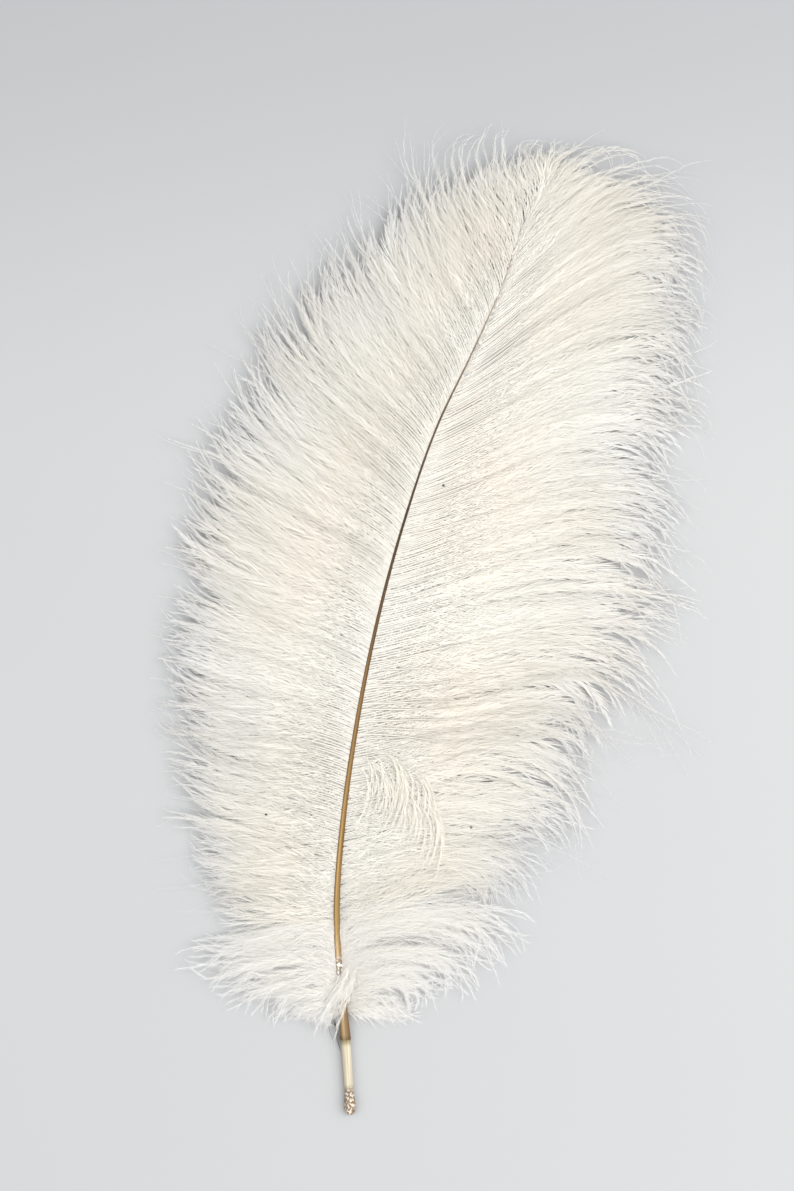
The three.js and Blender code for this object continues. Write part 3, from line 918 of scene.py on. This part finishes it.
crossLook = dict(
    downLayer, bundle=11, fan=(1.2, 1.8, 2.4, 2.8), barbule=6.5, gap=[(0, 0.4), (1, 0.4)],
    grow=[(0, 0.7), (1, 0.6)], opening=[(0, 24), (1, 12)], roll=[(0, 40), (1, 40)])
crossCurves = [
    [(-40, -166, 6), (-45, -176, 8.5), (-50, -182, 8), (-54, -190, 5)],
    [(-41, -172, 7), (-45, -180, 9), (-50, -186, 7), (-53, -196, 3)]]
stiffLook = dict(
    downLayer, bundle=4, fan=(0.4, 0.9, 1.3, 1.2), barbule=1.4, broad=[(0, 0.1), (1, 0.08)],
    gap=[(0, 0.7), (1, 0.7)], thread=[(0, 0.15), (1, 0.05)], grow=[(0, 0.8), (1, 0.6)],
    opening=[(0, 16), (1, 10)], roll=[(0, 30), (1, 30)])
driedCurves = [
    [(-49.5, -183, 5), (-51.5, -190, 4.5), (-50, -198, 3.5), (-46.5, -206, 3)],
    [(-48.5, -186, 4), (-50, -192, 4), (-48.5, -200, 3), (-46, -208, 2.6)]]
for name, curves, look, finish, seed, node, slot in (
        ("curledLocks", curlCurves, curlLook, creamy, 21, "vane_right", "vane"),
        ("crossingDown", crossCurves, crossLook, fluff, 22, "down_left", "down"),
        ("driedBarbs", driedCurves, stiffLook, dried, 23, "shaft", "shaft")):
    values = dict(barbValues, Material=finish, Seed=seed)
    keepPiece(growPiece(name, [looseLocks(curves, look, seed)], barbTree, values), node)
bpy.data.objects.remove(barbule)

# A few dark flecks of husk caught on top of the vanes.
fleckLook = {
    "places": [(5, 72.5), (19, -97.5), (-83, -91)],    # mm
    "size": 0.55, "lift": 0.2,     # radius, and height of the middle above the vane, mm
    "squash": (1.3, 1, 0.5),
    "lumps": (0.5, 1300),          # how deep and how fine
    "colour": (0.10, 0.085, 0.05), "shade": (0.5, 0.45, 0.4), "patchSize": 0.0006, "roughness": 0.8,
}
fleckBuild = bmesh.new()
bpy.context.view_layer.update()
deep, fine = fleckLook["lumps"]
wide, long, tall = fleckLook["squash"]
for x, y in fleckLook["places"]:
    hits = [vane.ray_cast((x * mm, y * mm, 1), (0, 0, -1)) for vane in vanePieces]
    top = max(spot.z for hit, spot, _, _ in hits if hit)
    centre = Vector((x * mm, y * mm, top + fleckLook["lift"] * mm))
    radius = fleckLook["size"] * mm
    for vert in bmesh.ops.create_icosphere(fleckBuild, subdivisions=3, radius=radius)["verts"]:
        lump = 1 + deep * noise.noise((vert.co + centre) * fine)
        vert.co = Vector((vert.co.x * wide, vert.co.y * long, vert.co.z * tall)) * lump + centre
fleckMesh = bpy.data.meshes.new("huskFlecks")
fleckBuild.to_mesh(fleckMesh)
fleckBuild.free()
fleckPaint, fleckTree = newMaterial("huskFleck")
fleckPatches = patchesOf(fleckTree, fleckLook["patchSize"], 2.0)
fleckTone = mixColours(fleckTree, "MULTIPLY", fleckPatches, (*fleckLook["colour"], 1),
                       (*fleckLook["shade"], 1))
fleckBody = addNode(fleckTree, "ShaderNodeBsdfPrincipled", {
    "Base Color": fleckTone, "Roughness": fleckLook["roughness"]})
addNode(fleckTree, "ShaderNodeOutputMaterial", {0: fleckBody.outputs[0]})
fleckMesh.materials.append(fleckPaint)
flecks = addObject("huskFlecks", fleckMesh)
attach(flecks, "root")
print("locks, wisp, dried barbs and flecks placed")

# Floor, light and camera, in metres.
floorLook = {
    "halfSize": 10, "roughness": 0.85,
    "colour": (0.394, 0.396, 0.396), "shade": (0.975, 0.975, 0.98), "clouds": 0.35,
    "farPaintedShade": (0.08, 0.34, (0.825, 0.83, 0.845)),   # painted shade, darker towards the far end: from and to along y, and how dark it ends
    "outer": (1.1, 3.0, (0.64, 0.645, 0.65)),        # painted light, paler away from the middle: from and to from the middle, and its paler colour
}
skyLook = {"colour": (0.97, 0.985, 1, 1), "strength": 0.8}
softboxes = {   # where it stands, what it faces, its width and its watts
    "keyLight": ((0.85, -0.12, 1.3), (0.1, -0.05, 0), 1.6, 30.3),
    "fillLight": ((-1.2, -0.2, 1.8), (0, 0, 0), 1.6, 18)}
lensView = {"centre": (-18 * mm, 18 * mm), "height": 1500 * mm, "tall": 595.5 * mm, "sensor": 24.0}


def fadeAcross(tree, value, near, far):
    # 0 up to near, 1 past far, and a soft change between them
    made = addNode(tree, "ShaderNodeMapRange", {0: value, 1: near, 2: far}, interpolation_type="SMOOTHSTEP")
    return made.outputs[0]


floorMesh = bpy.data.meshes.new("floor")
half = floorLook["halfSize"]
corners = [(-half, -half, 0), (half, -half, 0), (half, half, 0), (-half, half, 0)]
floorMesh.from_pydata(corners, [], [(0, 1, 2, 3)])
floor = addObject("floor", floorMesh)
floorPaint, floorTree = newMaterial("paleFloor")
cloud = patchesOf(floorTree, floorLook["clouds"], 3.0)
floorColour = mixColours(floorTree, "MULTIPLY", cloud, (*floorLook["colour"], 1), (*floorLook["shade"], 1))
floorPlace = addNode(floorTree, "ShaderNodeTexCoord").outputs["Object"]
# painted shade: the floor is darkened towards its far end, where the light falls off
near, far, farShadeTone = floorLook["farPaintedShade"]
alongFloor = addNode(floorTree, "ShaderNodeSeparateXYZ", {0: floorPlace}).outputs[1]
fade = fadeAcross(floorTree, alongFloor, near, far)
floorColour = mixColours(floorTree, "MULTIPLY", fade, floorColour, (*farShadeTone, 1))
# painted light: past the lights' reach the floor is painted paler, so that it darkens less in low views
near, far, outerLightTone = floorLook["outer"]
away = addNode(floorTree, "ShaderNodeVectorMath", {0: floorPlace}, operation="LENGTH").outputs["Value"]
fade = fadeAcross(floorTree, away, near, far)
floorColour = mixColours(floorTree, "MIX", fade, floorColour, (*outerLightTone, 1))
floorBody = addNode(floorTree, "ShaderNodeBsdfPrincipled", {
    "Base Color": floorColour, "Roughness": floorLook["roughness"]})
addNode(floorTree, "ShaderNodeOutputMaterial", {0: floorBody.outputs[0]})
floorMesh.materials.append(floorPaint)

world = bpy.data.worlds.new("studio")
bpy.context.scene.world = world
world.use_nodes = True
background = world.node_tree.nodes["Background"].inputs
background["Color"].default_value = skyLook["colour"]
background["Strength"].default_value = skyLook["strength"]

for name, (place, target, size, power) in softboxes.items():
    light = bpy.data.lights.new(name, "AREA")
    light.shape = "SQUARE"
    light.size = size
    light.energy = power
    made = addObject(name, light)
    made.location = place
    made.rotation_euler = (Vector(target) - Vector(place)).to_track_quat("-Z", "Y").to_euler()

camera = addObject("camera", bpy.data.cameras.new("camera"))
camera.data.sensor_fit = "VERTICAL"
camera.data.sensor_height = lensView["sensor"]
camera.data.lens = lensView["sensor"] * lensView["height"] / lensView["tall"]
camera.location = (*lensView["centre"], lensView["height"])
bpy.context.scene.camera = camera
bpy.context.scene.view_settings.view_transform = "Standard"
bpy.context.scene.cycles.diffuse_bounces = 12
print("floor, light and camera set")
